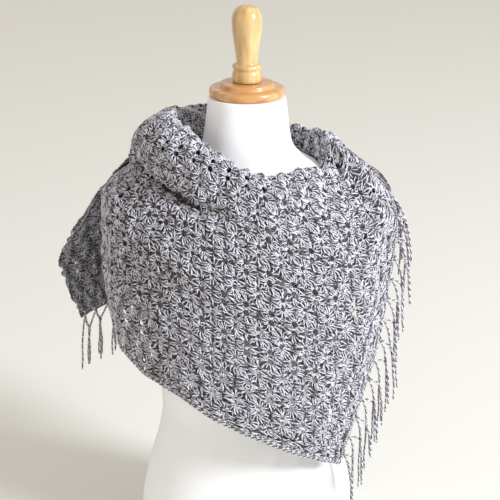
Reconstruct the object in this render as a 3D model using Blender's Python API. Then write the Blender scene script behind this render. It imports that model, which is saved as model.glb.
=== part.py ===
"""A crocheted lace wrap with fringed ends, worn on a limbless dress form with a turned wooden neck cap.

Metres, +Z up. The form faces -Y, its axis is x = y = 0, and its flat underside is z = 0.
The wrap is one long stole, wound as a spiral. Angles are degrees round the form's axis: 0 is the
front, 90 the form's own left side (+X), and they fall as the cloth goes on round: -90 is the form's
right side, -180 the back, and -270 the left side again, under the fringed front end."""

import math

import bmesh
import bpy
import numpy as np
from mathutils import Vector

# Driving sizes
CLOTH = 0.0025  # thickness of the crochet
SEAM = 0.0003  # what two neighbouring pieces stay apart
LONG_SEAM = 0.0012  # and along the curved line under the roll, whose two sides have different facets
STITCH = 0.0305  # width of one shell of the lace, along its rows
ROW = 0.055  # two rows of shells, from one line of eyelets to the next
EYELET = 0.009  # side of an eyelet
SCALLOP = 0.004  # how far each shell stands out along a long edge
CUFF = 0.010  # width of the strip that carries a fringe
STRAND = 0.0026  # thickness of a fringe strand
KNOT_PITCH = 0.0285  # from one fringe knot to the next
ROLL_FALL = 0.10  # length of the cloth over the roll, from its inner edge to the line under it
PANEL_FALL = 0.30  # and from that line down to the hem
TAIL_FALL = 0.27  # and down to the tail's fringed end
END_OUT = 0.185  # how far the front's fringed end hangs from the axis
RIM_OUT = 0.08  # and the roll's inner edge
NECK_TOP = 0.6470  # height of the form's neck
BASE_EDGE = 0.004  # rounding round the form's underside

# The dress form's sections
FORM = (
    # up, half_width, half_depth, forward
    (0.000, 0.1470, 0.1030, 0.000),
    (BASE_EDGE, 0.1510, 0.1070, 0.000),
    (0.045, 0.1510, 0.1080, 0.000),
    (0.110, 0.1400, 0.1010, 0.000),
    (0.160, 0.1260, 0.0920, 0.000),
    (0.200, 0.1200, 0.0880, 0.000),
    (0.240, 0.1225, 0.0920, 0.002),
    (0.290, 0.1310, 0.1020, 0.006),
    (0.345, 0.1420, 0.1130, 0.010),
    (0.390, 0.1480, 0.1170, 0.010),
    (0.435, 0.1530, 0.1090, 0.006),
    (0.475, 0.1600, 0.0960, 0.000),
    (0.502, 0.1600, 0.0830, -0.002),
    (0.522, 0.1480, 0.0740, -0.003),
    (0.538, 0.1250, 0.0670, -0.003),
    (0.552, 0.0980, 0.0610, -0.002),
    (0.565, 0.0740, 0.0560, 0.000),
    (0.580, 0.0620, 0.0530, 0.002),
    (0.600, 0.0575, 0.0515, 0.003),
    (0.625, 0.0545, 0.0500, 0.004),
    (0.643, 0.0520, 0.0500, 0.004),
    (NECK_TOP, 0.0505, 0.0490, 0.004),
)
FORM_SIDES = 40
FORM_SQUARENESS = 2.25  # exponent of the sections, 2 being an ellipse

# The roll round the neck, from the inner edge that rests on the form over the crest and the outer side
# to the line where it is tucked against the panel under it. rim_clear is how far the inner edge stands
# clear of the form; the rest are distances out from the axis, and heights.
ROLL = (
    # angle, rim_clear, rim_up, crest_out, crest_up, brow_out, brow_up, tuck_out, tuck_up
    (76, 0.0020, 0.5460, 0.1150, 0.5590, 0.1230, 0.5540, 0.1295, 0.5440),
    (62, 0.0014, 0.5450, 0.1040, 0.5620, 0.1150, 0.5570, 0.1250, 0.5430),
    (45, 0.0008, 0.5400, 0.0960, 0.5660, 0.1110, 0.5570, 0.1240, 0.5370),
    (25, 0.0008, 0.5340, 0.0960, 0.5620, 0.1140, 0.5520, 0.1290, 0.5280),
    (5, 0.0008, 0.5330, 0.0970, 0.5690, 0.1180, 0.5580, 0.1340, 0.5260),
    (-15, 0.0008, 0.5380, 0.0980, 0.5850, 0.1230, 0.5750, 0.1370, 0.5310),
    (-35, 0.0014, 0.5460, 0.0980, 0.6040, 0.1320, 0.5920, 0.1390, 0.5370),
    (-55, 0.0020, 0.5540, 0.0990, 0.6180, 0.1410, 0.6010, 0.1430, 0.5450),
    (-75, 0.0030, 0.5600, 0.1010, 0.6250, 0.1480, 0.6000, 0.1500, 0.5550),
    (-95, 0.0030, 0.5620, 0.1010, 0.6270, 0.1480, 0.5990, 0.1600, 0.5620),
    (-120, 0.0030, 0.5600, 0.0960, 0.6170, 0.1360, 0.6000, 0.1520, 0.5600),
    (-150, 0.0030, 0.5560, 0.0920, 0.6150, 0.1220, 0.5980, 0.1400, 0.5500),
    (-180, 0.0030, 0.5520, 0.0910, 0.6050, 0.1150, 0.5900, 0.1330, 0.5430),
    (-206, 0.0020, 0.5500, 0.0900, 0.5910, 0.1110, 0.5790, 0.1300, 0.5420),
    (-216, 0.0016, 0.5500, 0.0910, 0.5890, 0.1115, 0.5780, 0.1307, 0.5433),
    (-240, 0.0012, 0.5500, 0.0950, 0.5880, 0.1130, 0.5810, 0.1350, 0.5520),
    (-262, 0.0012, 0.5540, 0.1040, 0.5950, 0.1180, 0.5890, 0.1400, 0.5640),
    (-276, 0.0014, 0.5520, 0.1110, 0.5900, 0.1230, 0.5820, 0.1400, 0.5600),
    (-284, 0.0020, 0.5460, 0.1150, 0.5590, 0.1230, 0.5540, 0.1295, 0.5440),
)

# The long panel under the roll, from the fringed front end round the back to the left shoulder
PANEL = (
    # angle, top_out, top_up, cape_out, cape_up, fall_out, fall_up, hem_out, hem_up
    (90, 0.2040, 0.4950, 0.2060, 0.4680, 0.2020, 0.3800, 0.1900, 0.2100),
    (86, 0.1840, 0.5400, 0.2060, 0.4740, 0.2020, 0.3720, 0.1850, 0.1950),
    (82, 0.1510, 0.5700, 0.2050, 0.4790, 0.2010, 0.3650, 0.1800, 0.1780),
    (79, 0.1290, 0.5880, 0.2030, 0.4850, 0.1990, 0.3600, 0.1760, 0.1650),
    (76, 0.1340, 0.5640, 0.1990, 0.4880, 0.1975, 0.3550, 0.1720, 0.1570),
    (73, 0.1340, 0.5470, 0.1950, 0.4900, 0.1950, 0.3500, 0.1680, 0.1500),
    (62, 0.1250, 0.5430, 0.1790, 0.4880, 0.1870, 0.3450, 0.1560, 0.1400),
    (45, 0.1240, 0.5370, 0.1590, 0.4780, 0.1730, 0.3450, 0.1610, 0.1600),
    (25, 0.1290, 0.5280, 0.1530, 0.4650, 0.1640, 0.3500, 0.1620, 0.1870),
    (5, 0.1340, 0.5260, 0.1510, 0.4600, 0.1600, 0.3600, 0.1620, 0.2170),
    (-15, 0.1370, 0.5310, 0.1530, 0.4640, 0.1610, 0.3700, 0.1620, 0.2430),
    (-35, 0.1390, 0.5370, 0.1610, 0.4760, 0.1690, 0.3800, 0.1660, 0.2720),
    (-55, 0.1430, 0.5450, 0.1770, 0.4890, 0.1830, 0.3900, 0.1750, 0.2900),
    (-75, 0.1500, 0.5550, 0.1960, 0.5010, 0.1970, 0.4000, 0.1820, 0.3070),
    (-95, 0.1540, 0.5560, 0.2000, 0.5000, 0.2000, 0.4100, 0.1870, 0.3230),
    (-120, 0.1440, 0.5540, 0.1770, 0.4900, 0.1840, 0.4050, 0.1800, 0.3180),
    (-150, 0.1320, 0.5440, 0.1480, 0.4850, 0.1560, 0.4000, 0.1560, 0.3120),
    (-180, 0.1260, 0.5380, 0.1360, 0.4850, 0.1450, 0.4050, 0.1480, 0.3150),
    (-207, 0.1240, 0.5370, 0.1380, 0.4900, 0.1490, 0.4150, 0.1530, 0.3300),
    (-216, 0.1307, 0.5433, 0.1420, 0.4930, 0.1520, 0.4190, 0.1545, 0.3350),
    (-240, 0.1350, 0.5520, 0.1600, 0.5020, 0.1690, 0.4350, 0.1680, 0.3600),
    (-262, 0.1400, 0.5640, 0.1800, 0.5130, 0.1850, 0.4600, 0.1830, 0.4050),
    (-276, 0.1400, 0.5600, 0.1780, 0.5110, 0.1850, 0.4650, 0.1840, 0.4250),
)
PANEL_STATIONS = (0.0, 0.26, 0.58, 1.0)  # where top, cape, fall and hem lie along the panel's fall
ROLL_STATIONS = (0.0, 0.22, 0.55, 1.0)  # and rim, crest, brow and tuck round the roll

# The tail: the other fringed end, which comes off the roll and hangs down the back over the panel
TAIL = (
    # angle, top_out, top_up, cape_out, cape_up, fall_out, fall_up, hem_out, hem_up
    (-96, 0.1600, 0.5620, 0.2180, 0.4880, 0.2700, 0.3950, 0.2400, 0.3130),
    (-104, 0.1580, 0.5615, 0.2200, 0.4860, 0.2660, 0.3950, 0.2400, 0.3100),
    (-116, 0.1530, 0.5605, 0.2080, 0.4850, 0.2450, 0.3950, 0.2340, 0.3080),
    (-132, 0.1470, 0.5560, 0.1840, 0.4820, 0.2070, 0.3950, 0.2080, 0.3060),
    (-150, 0.1400, 0.5500, 0.1660, 0.4800, 0.1810, 0.3950, 0.1840, 0.3040),
    (-168, 0.1350, 0.5450, 0.1530, 0.4780, 0.1640, 0.3950, 0.1690, 0.3020),
    (-188, 0.1325, 0.5425, 0.1480, 0.4780, 0.1590, 0.3950, 0.1650, 0.3000),
    (-206, 0.1300, 0.5420, 0.1500, 0.4780, 0.1620, 0.3950, 0.1690, 0.3000),
    (-216, 0.1307, 0.5433, 0.1510, 0.4780, 0.1630, 0.3950, 0.1700, 0.3000),
)

# Where each piece begins and ends
FRONT_END = (
    # down, angle
    (0.00, 88.0),
    (0.30, 84.0),
    (0.60, 74.0),
    (0.85, 63.0),
    (1.00, 56.0),
)
SIDE_SEAM = -97.0
SHOULDER_SEAM = -214.0
LEFT_END = -275.0
ROLL_START = 76.0
ROLL_END = ROLL_START - 360.0
TAIL_EDGES = (-99.0, -206.0)

# The largest folds: soft troughs, or ridges where the depth is below zero, drawn from one point of
# the cloth to another. down is 0 to 1 on the roll and 1 to 2 on the panel or the tail.
FOLD_REACH = 0.0029  # metres along the cloth for each degree round
FOLD_FALL = 0.26  # metres along the cloth for each step of down
SHARED_FOLDS = (
    # angle, down, to_angle, to_down, half_width, depth
    (-72, 0.98, -14, 1.03, 0.013, 0.0110),
    (-14, 1.03, 8, 1.12, 0.016, 0.0050),
    (-50, 0.10, -80, 0.75, 0.014, 0.0060),
    (-92, 0.20, -108, 0.80, 0.014, 0.0060),
    (-20, 0.15, -42, 0.70, 0.014, 0.0045),
    (20, 0.20, -4, 0.75, 0.013, 0.0035),
    (-268, 0.30, -225, 0.85, 0.013, 0.0050),
    (-150, 0.20, -172, 0.80, 0.013, 0.0055),
)
PANEL_FOLDS = (
    # angle, down, to_angle, to_down, half_width, depth
    (66, 1.12, 52, 1.48, 0.018, 0.0100),
    (-60, 1.16, 30, 1.30, 0.022, 0.0035),
    (-70, 1.40, 42, 1.62, 0.024, 0.0040),
    (-55, 1.29, 30, 1.45, 0.024, -0.0035),
    (-30, 1.70, 55, 1.80, 0.022, 0.0035),
    (76, 1.25, 66, 1.75, 0.016, 0.0050),
    (-82, 1.20, -78, 1.85, 0.016, 0.0050),
    (-262, 1.15, -205, 1.62, 0.020, 0.0060),
    (-250, 1.45, -190, 1.85, 0.020, 0.0050),
)
TAIL_FOLDS = (
    # angle, down, to_angle, to_down, half_width, depth
    (-112, 1.25, -110, 1.95, 0.018, 0.0120),
    (-128, 1.20, -126, 1.95, 0.014, -0.0060),
    (-141, 1.16, -141, 1.95, 0.014, 0.0070),
    (-166, 1.16, -163, 1.90, 0.014, 0.0060),
    (-190, 1.16, -188, 1.95, 0.016, 0.0060),
)

# Where the first eyelets lie, in metres along a piece and down it
PANEL_FIRST = (0.010, 0.020)
ROLL_FIRST = (0.012, 0.022)
TAIL_FIRST = (0.012, 0.030)

# The fringe's strands: how many hang from a knot, how long they are, and how far they lean out
KNOT_STRANDS = 3
STRAND_STEPS = 4
FRONT_LENGTH = 0.100
FRONT_ROOTS = 0.0064  # from one strand's root to the next at a knot
FRONT_SPREAD = 0.013  # how far apart the ends of one knot's strands hang
FRONT_BEFORE = 0.0040  # how far each of them passes outside the root of the one below
FRONT_LEAN = 0.028
FRONT_LEAN_FALL = 0.0012  # less for each knot down the edge
FIRST_LEAN = 0.009  # more at the first knot, above which the edge turns in
TAIL_LENGTH = 0.085
TAIL_ROOTS = 0.0052
TAIL_SPREAD = 0.006
TAIL_LEAN = 0.004

# Turned profiles of the neck cap, distance out and height, from the top down the outer side
CAP_FLOOR = NECK_TOP + SEAM
DISC = (
    (0.0000, 0.6655), (0.0330, 0.6655), (0.0352, 0.6650), (0.0362, 0.6636), (0.0365, 0.6612),
    (0.0372, 0.6598), (0.0385, 0.6592), (0.0470, 0.6590), (0.0494, 0.6582), (0.0506, 0.6562),
    (0.0510, 0.6535), (0.0506, 0.6505), (0.0494, 0.6482), (0.0480, CAP_FLOOR), (0.0000, CAP_FLOOR),
)
HANDLE_FLOOR = 0.6655 + SEAM
HANDLE = (
    (0.0000, 0.7685), (0.0060, 0.7680), (0.0115, 0.7662), (0.0160, 0.7626), (0.0190, 0.7572),
    (0.0205, 0.7500), (0.0204, 0.7420), (0.0190, 0.7290), (0.0170, 0.7150), (0.0152, 0.7020),
    (0.0143, 0.6940), (0.0142, 0.6905), (0.0170, 0.6900), (0.0190, 0.6890), (0.0198, 0.6872),
    (0.0196, 0.6850), (0.0186, 0.6832), (0.0180, 0.6815), (0.0186, 0.6800), (0.0196, 0.6780),
    (0.0200, 0.6740), (0.0200, 0.6700), (0.0196, 0.6675), (0.0186, HANDLE_FLOOR), (0.0000, HANDLE_FLOOR),
)
TURNED_STEPS = 28


def clear_scene():
    for obj in list(bpy.data.objects):
        bpy.data.objects.remove(obj)


def finish(name, colour, roughness):
    """A plain Principled material."""
    material = bpy.data.materials.new(name)
    material.use_nodes = True
    shader = material.node_tree.nodes["Principled BSDF"]
    shader.inputs["Base Color"].default_value = (*colour, 1.0)
    shader.inputs["Roughness"].default_value = roughness
    shader.inputs["Metallic"].default_value = 0.0
    return material


def object_of(name, mesh, material):
    mesh.materials.append(material)
    mesh.shade_smooth()
    mesh.set_sharp_from_angle(angle=math.radians(40))
    obj = bpy.data.objects.new(name, mesh)
    bpy.context.collection.objects.link(obj)
    return obj


def slopes(xs, ys):
    """Slopes at the points that keep a cubic through them from overshooting."""
    step = np.diff(xs)
    rise = np.diff(ys, axis=0) / step[:, None]
    inner = np.zeros_like(ys[1:-1])
    same_way = rise[:-1] * rise[1:] > 0
    before = 2 * step[1:] + step[:-1]
    after = step[1:] + 2 * step[:-1]
    with np.errstate(divide="ignore", invalid="ignore"):
        mean = (before + after)[:, None] / (before[:, None] / rise[:-1] + after[:, None] / rise[1:])
    inner[same_way] = mean[same_way]
    return np.concatenate([rise[:1], inner, rise[-1:]])


def through(xs, ys, x):
    """The value at x of a smooth curve through the points (xs, ys), with xs rising."""
    xs = np.asarray(xs, float)
    ys = np.asarray(ys, float).reshape(len(xs), -1)
    lean = slopes(xs, ys)
    x = min(max(x, xs[0]), xs[-1])
    i = min(int(np.searchsorted(xs, x, side="right")) - 1, len(xs) - 2)
    step = xs[i + 1] - xs[i]
    u = (x - xs[i]) / step
    low = (1 + 2 * u) * (1 - u) ** 2
    high = u * u * (3 - 2 * u)
    low_lean = u * (1 - u) ** 2 * step
    high_lean = u * u * (u - 1) * step
    return low * ys[i] + high * ys[i + 1] + low_lean * lean[i] + high_lean * lean[i + 1]


def section(table, angle):
    """A table's columns after the first, at an angle."""
    rows = np.array(sorted(table))
    return through(rows[:, 0], rows[:, 1:], angle)


def form_point(row, turn):
    """A point of the form's section in a row of its table."""
    up, half_width, half_depth, forward = row
    side, front = math.sin(turn), math.cos(turn)
    power = 2.0 / FORM_SQUARENESS
    x = half_width * math.copysign(abs(side) ** power, side)
    y = -half_depth * math.copysign(abs(front) ** power, front) - forward
    return Vector((x, y, up))


def form_out(angle, up):
    """How far the form reaches from the axis, at an angle and a height."""
    rows = np.array(FORM)
    half_width, half_depth, forward = (float(np.interp(up, rows[:, 0], rows[:, k])) for k in (1, 2, 3))
    turn = math.radians(angle)
    low, high = 0.0, 0.3
    for _ in range(40):
        out = (low + high) / 2
        across = abs(out * math.sin(turn) / half_width) ** FORM_SQUARENESS
        deep = abs((out * math.cos(turn) - forward) / half_depth) ** FORM_SQUARENESS
        if across + deep < 1.0:
            low = out
        else:
            high = out
    return high


def fold_depth(folds, angle, down):
    """How far the folds push the cloth in at a point of it."""
    depth = 0.0
    scale = np.array([FOLD_REACH, FOLD_FALL])
    for row in folds:
        start_angle, start_down, end_angle, end_down, half_width, most = row
        start = np.array([start_angle, start_down]) * scale
        run = np.array([end_angle, end_down]) * scale - start
        point = np.array([angle, down]) * scale - start
        along = min(max(float(point @ run) / float(run @ run), 0.0), 1.0)
        away = float(np.linalg.norm(point - along * run))
        depth += most * math.exp(-((away / half_width) ** 2)) * (0.55 + 0.45 * math.sin(math.pi * along))
    return depth


def roll_and(table, folds):
    """The outer side of the roll, and of the panel or tail under it, as one surface of angle and down."""

    def surface(angle, down):
        if down <= 1.0:
            points = section(ROLL, angle).reshape(4, 2)
            points[0, 0] += form_out(angle, points[0, 1])
            out, up = through(ROLL_STATIONS, points, down)
        else:
            out, up = through(PANEL_STATIONS, section(table, angle).reshape(4, 2), down - 1.0)
            out -= fold_depth(folds, angle, down)
        out -= fold_depth(SHARED_FOLDS, angle, down)
        turn = math.radians(angle)
        return Vector((out * math.sin(turn), -out * math.cos(turn), up))

    return surface


panel_surface = roll_and(PANEL, PANEL_FOLDS)
tail_surface = roll_and(TAIL, TAIL_FOLDS)


def roll_surface(angle, down):
    """The roll goes on into the tail where there is one, and else into the panel."""
    under = tail_surface if SHOULDER_SEAM <= angle <= TAIL_EDGES[0] else panel_surface
    return under(angle, down)


def outward(surface, angle, down, top):
    """The unit normal of the cloth, out from the form. Above top the cloth doesn't go on."""
    around = surface(angle + 1.5, down) - surface(angle - 1.5, down)
    along = surface(angle, down + 0.03) - surface(angle, max(down - 0.03, top))
    return along.cross(around).normalized()


def wall(name, material, grid, inner, holes):
    """A closed wall from a grid of outer points and one of inner points, with the holes' cells left out."""
    shape = bmesh.new()
    rows, columns = len(grid), len(grid[0])
    skins = [[[shape.verts.new(p) for p in line] for line in side] for side in (grid, inner)]
    cells = {(i, j) for i in range(rows - 1) for j in range(columns - 1)} - set(holes)

    def corners(side, i, j):
        points = skins[side]
        return [points[i][j], points[i][j + 1], points[i + 1][j + 1], points[i + 1][j]]

    for i, j in sorted(cells):
        outer = corners(0, i, j)
        within = corners(1, i, j)
        shape.faces.new(outer[::-1])
        shape.faces.new(within)
        beside = ((i - 1, j), (i, j + 1), (i + 1, j), (i, j - 1))
        for side, neighbour in enumerate(beside):
            if neighbour not in cells:
                a, b = side, (side + 1) % 4
                shape.faces.new((outer[a], outer[b], within[b], within[a]))
    loose = [v for v in shape.verts if not v.link_faces]
    bmesh.ops.delete(shape, geom=loose, context="VERTS")
    mesh = bpy.data.meshes.new(name)
    shape.to_mesh(mesh)
    shape.free()
    return object_of(name, mesh, material)


def spaced(length, pitch, hole, first):
    """Cuts along a side of the cloth, in metres: a hole each pitch, starting at first, with its edges."""
    cuts, open_cells = [0.0], []
    at = first
    while at + hole < length - hole * 0.6:
        cuts.append(at)
        open_cells.append(len(cuts) - 1)
        cuts.append(at + hole)
        at += pitch
    cuts.append(length)
    return cuts, open_cells


def halved(cuts, open_cells, longest):
    """The same cuts with each cell over the longest split, and where the open cells are now."""
    made, now_open = [cuts[0]], []
    for i, (low, high) in enumerate(zip(cuts, cuts[1:])):
        parts = 1 if i in open_cells else max(1, math.ceil((high - low) / longest))
        if i in open_cells:
            now_open.append(len(made) - 1)
        made += [low + (high - low) * (k + 1) / parts for k in range(parts)]
    return made, now_open


def run_length(points):
    """Length of a line through the points."""
    return sum((b - a).length for a, b in zip(points, points[1:]))


def lace(name, material, surface, edges, downs, first, scallops, top, longest=0.03):
    """A piece of the lace between two side edges and two levels, with its largest eyelets cut through.

    edges gives the two side angles at a level, first is where the first eyelets lie along and down,
    in metres, scallops says whether the upper and the lower edge have them, and top is the level
    above which the cloth doesn't go on, at an angle."""
    middle = (downs[0] + downs[1]) / 2
    sides = edges(middle)
    ways = [k / 40 for k in range(41)]
    length = run_length([surface(sides[0] + (sides[1] - sides[0]) * k, middle) for k in ways])
    centre = sum(sides) / 2
    fall = run_length([surface(centre, downs[0] + (downs[1] - downs[0]) * k) for k in ways])
    along, open_along = halved(*spaced(length, STITCH, EYELET, first[0]), longest)
    down, open_down = halved(*spaced(fall, ROW, EYELET, first[1]), longest)
    step = SCALLOP / fall * (downs[1] - downs[0])
    grid, inner = [], []
    for v in down:
        line, inner_line = [], []
        for j, u in enumerate(along):
            level = downs[0] + (downs[1] - downs[0]) * v / fall
            if j % 2 and (v == 0.0 and scallops[0]):
                level += step
            if j % 2 and (v == down[-1] and scallops[1]):
                level -= step
            low, high = edges(level)
            angle = low + (high - low) * u / length
            point = surface(angle, level)
            line.append(point)
            inner_line.append(point - CLOTH * outward(surface, angle, level, top(angle)))
        grid.append(line)
        inner.append(inner_line)
    holes = [(i, j) for i in open_down for j in open_along]
    return wall(name, material, grid, inner, holes)


def end_angle(down):
    """Where the front end's fringed edge lies, at a level of the panel."""
    steps = np.array(FRONT_END)
    return float(through(steps[:, 0], steps[:, 1], down)[0])


def degrees_for(metres, out):
    return math.degrees(metres / out)


def turned(name, profile, material):
    """A turned piece: its half profile, spun round the axis by a Screw modifier."""
    mesh = bpy.data.meshes.new(name)
    points = [(out, 0.0, up) for out, up in profile]
    mesh.from_pydata(points, [(i, i + 1) for i in range(len(points) - 1)], [])
    obj = object_of(name, mesh, material)
    spin = obj.modifiers.new("Turned", "SCREW")
    spin.axis = "Z"
    spin.steps = TURNED_STEPS
    spin.render_steps = TURNED_STEPS
    spin.use_merge_vertices = True
    spin.merge_threshold = 0.0001
    spin.use_smooth_shade = True
    return obj


def torso(material):
    """The padded form, lofted through its sections, with a flat underside and a flat neck."""
    shape = bmesh.new()
    rings = []
    for row in FORM:
        turns = [2 * math.pi * k / FORM_SIDES for k in range(FORM_SIDES)]
        rings.append([shape.verts.new(form_point(row, turn)) for turn in turns])
    for low, high in zip(rings, rings[1:]):
        for k in range(FORM_SIDES):
            n = (k + 1) % FORM_SIDES
            shape.faces.new((low[k], low[n], high[n], high[k]))
    shape.faces.new(rings[0][::-1])
    shape.faces.new(rings[-1])
    bmesh.ops.recalc_face_normals(shape, faces=shape.faces)
    mesh = bpy.data.meshes.new("dress_form")
    shape.to_mesh(mesh)
    shape.free()
    return object_of("dress_form", mesh, material)


def fringe(name, material, edge, knots, spacing, length, drift):
    """A narrow strip along a short end of the wrap, with the fringe's strands growing out of its edge.

    edge(where, across) gives a point of the strip and the outward normal there; where runs in metres
    along the end, and across from the cloth, 0, to the strip's own edge, 1. spacing is how far apart
    the strands of a knot are rooted."""
    shape = bmesh.new()
    cuts = [knots[0] - (KNOT_STRANDS - 1) * spacing]
    roots = []
    for k, knot in enumerate(knots):
        first = knot - (KNOT_STRANDS - 1) / 2 * spacing
        for n in range(KNOT_STRANDS):
            low = first + n * spacing - STRAND / 2
            cuts.append(low)
            roots.append((len(cuts) - 1, k, n))
            cuts.append(low + STRAND)
    cuts.append(knots[-1] + (KNOT_STRANDS - 1) * spacing)
    rings = []
    for where in cuts:
        ring = []
        for across, side in ((0, 0), (1, 0), (1, 1), (0, 1)):
            point, normal = edge(where, across)
            ring.append(shape.verts.new(point - side * STRAND * normal))
        rings.append(ring)
    mouths = {}
    for i, (one, two) in enumerate(zip(rings, rings[1:])):
        for side in range(4):
            after = (side + 1) % 4
            quad = (one[side], one[after], two[after], two[side])
            if side == 1 and any(i == cell for cell, _, _ in roots):
                mouths[i] = quad
            else:
                shape.faces.new(quad)
    shape.faces.new(rings[0][::-1])
    shape.faces.new(rings[-1])
    for cell, k, n in roots:
        before = list(mouths[cell])
        middle = sum((v.co for v in before), Vector()) / 4
        back, tip, tip_within, back_within = (v.co for v in rings[cell])
        away = ((tip - back) + (tip_within - back_within)).normalized()
        flat = (tip - tip_within).normalized()
        beside = away.cross(flat)
        places = [((v.co - middle).dot(flat), (v.co - middle).dot(beside)) for v in before]
        path = [middle] + drift(middle, away, k, n, length)
        for step in range(1, len(path)):
            ahead = (path[min(step + 1, len(path) - 1)] - path[step - 1]).normalized()
            face = (flat - flat.dot(ahead) * ahead).normalized()
            side_way = ahead.cross(face)
            thin = 1.0 - 0.3 * (step - 1) / len(path)
            after = [shape.verts.new(path[step] + thin * (a * face + b * side_way)) for a, b in places]
            for side in range(4):
                other = (side + 1) % 4
                shape.faces.new((before[side], before[other], after[other], after[side]))
            before = after
        shape.faces.new(before)
    bmesh.ops.recalc_face_normals(shape, faces=shape.faces)
    if shape.calc_volume(signed=True) < 0:
        bmesh.ops.reverse_faces(shape, faces=shape.faces)
    mesh = bpy.data.meshes.new(name)
    shape.to_mesh(mesh)
    shape.free()
    return object_of(name, mesh, material)


def hanging(leaning, reach, spread, before):
    """Paths for strands that leave an edge straight and then lean out and hang, fanned out a little.

    Strands of three knots in a row hang a third of the spread apart, and before is how far each strand
    of a knot passes outside the next one's root, so that none touch."""

    def drift(middle, away, knot, strand, length):
        lean, across = leaning(knot)
        aside = spread * (strand - 1 + (knot % 3 - 1) / 3)
        long = length * (1.0 + 0.08 * math.sin(1.7 * knot + 2.1 * strand))
        points = []
        for k in range(1, STRAND_STEPS + 1):
            u = (k / STRAND_STEPS) ** 1.3
            point = middle + away * 0.004 * (1.0 - math.exp(-9.0 * u)) + across * aside * (2 - u) * u
            point = point + lean * reach(knot) * (1.0 - math.exp(-2.0 * u))
            point = point + lean * (KNOT_STRANDS - 1 - strand) * before * (1.0 - math.exp(-9.0 * u))
            points.append(point - Vector((0, 0, long * (u - 0.08 * (1.0 - math.exp(-8.0 * u))))))
        return points

    return drift


def line_of(point_at, count=60):
    """Points along a short end with the length up to each, for finding a place by its distance."""
    points = [point_at(k / count) for k in range(count + 1)]
    lengths = [0.0]
    for a, b in zip(points, points[1:]):
        lengths.append(lengths[-1] + (b - a).length)
    return lengths


def front_fringe(material):
    cuff = degrees_for(CUFF, END_OUT)

    def place(level, across):
        return end_angle(level) - cuff * (1.0 - across), 1.001 + 0.999 * level

    lengths = line_of(lambda level: panel_surface(*place(level, 1.0)))

    def edge(where, across):
        level = float(np.interp(where, lengths, np.linspace(0.0, 1.0, len(lengths))))
        angle, down = place(level, across)
        return panel_surface(angle, down), outward(panel_surface, angle, down, 1.0)

    count = int(lengths[-1] / KNOT_PITCH)
    knots = [(k + 0.5) * lengths[-1] / count for k in range(count)]

    def leaning(knot):
        return Vector((0.96, 0.28, 0.0)), Vector((0.0, 1.0, 0.0))

    def reach(knot):
        return FRONT_LEAN - FRONT_LEAN_FALL * knot + FIRST_LEAN * math.exp(-knot)

    drift = hanging(leaning, reach, FRONT_SPREAD, FRONT_BEFORE)
    return fringe("front_fringe", material, edge, knots, FRONT_ROOTS, FRONT_LENGTH, drift)


def tail_fringe(material):
    first, last = TAIL_EDGES

    def place(way, across):
        return first + (last - first) * way, 2.0 - CUFF / TAIL_FALL * (1.0 - across)

    lengths = line_of(lambda way: tail_surface(*place(way, 1.0)))

    def edge(where, across):
        way = float(np.interp(where, lengths, np.linspace(0.0, 1.0, len(lengths))))
        angle, down = place(way, across)
        return tail_surface(angle, down), outward(tail_surface, angle, down, 1.0)

    count = int(lengths[-1] / KNOT_PITCH)
    knots = [(k + 0.5) * lengths[-1] / count for k in range(count)]

    def leaning(knot):
        turn = math.radians(place((knot + 0.5) / count, 1.0)[0])
        return Vector((math.sin(turn), -math.cos(turn), 0.0)), -Vector((math.cos(turn), math.sin(turn), 0.0))

    drift = hanging(leaning, lambda knot: TAIL_LEAN, TAIL_SPREAD, 0.0)
    return fringe("tail_fringe", material, edge, knots, TAIL_ROOTS, TAIL_LENGTH, drift)


def front_panel(material):
    cuff = degrees_for(CUFF, END_OUT)

    def edges(level):
        return SIDE_SEAM + HALF_SEAM, end_angle(level - 1.0) - cuff - 2 * HALF_SEAM

    def top(angle):
        return 0.0 if angle < ROLL_START else 1.0

    lace("front_panel", material, panel_surface, edges, PANEL_DOWNS, PANEL_FIRST, (False, True), top)


def back_panel(material):
    def edges(level):
        return LEFT_END, SIDE_SEAM - HALF_SEAM

    def top(angle):
        return 0.0 if angle < SHOULDER_SEAM else 1.0

    lace("back_panel", material, panel_surface, edges, PANEL_DOWNS, PANEL_FIRST, (False, True), top)


def roll_piece(name, material, low, high):
    """A stretch of the roll between two angles."""

    def edges(level):
        return low + HALF_SEAM, high - HALF_SEAM

    def top(angle):
        return 0.0

    lace(name, material, roll_surface, edges, ROLL_DOWNS, ROLL_FIRST, (True, False), top)


def tail(material):
    def edges(level):
        return TAIL_EDGES[1], TAIL_EDGES[0]

    def top(angle):
        return 0.0

    lace("tail", material, tail_surface, edges, TAIL_DOWNS, TAIL_FIRST, (False, False), top)


HALF_SEAM = degrees_for(SEAM / 2, RIM_OUT)
ROLL_DOWNS = (0.0, 1.0 - LONG_SEAM / 2 / ROLL_FALL)
PANEL_DOWNS = (1.0 + LONG_SEAM / 2 / PANEL_FALL, 2.0)
TAIL_DOWNS = (1.0 + LONG_SEAM / 2 / PANEL_FALL, 2.0 - (CUFF + 3 * SEAM) / TAIL_FALL)

clear_scene()
yarn = finish("grey marled yarn", (0.30, 0.29, 0.30), 0.9)
jersey = finish("white jersey", (0.86, 0.86, 0.85), 0.8)
wood = finish("varnished wood", (0.72, 0.42, 0.17), 0.3)

torso(jersey)
turned("neck_cap", DISC, wood)
turned("cap_handle", HANDLE, wood)
front_panel(yarn)
back_panel(yarn)
roll_piece("neck_roll_front", yarn, SIDE_SEAM + HALF_SEAM, ROLL_START)
roll_piece("neck_roll_back", yarn, SHOULDER_SEAM, SIDE_SEAM - HALF_SEAM)
roll_piece("left_shoulder", yarn, ROLL_END, SHOULDER_SEAM)
tail(yarn)
front_fringe(yarn)
tail_fringe(yarn)
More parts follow.
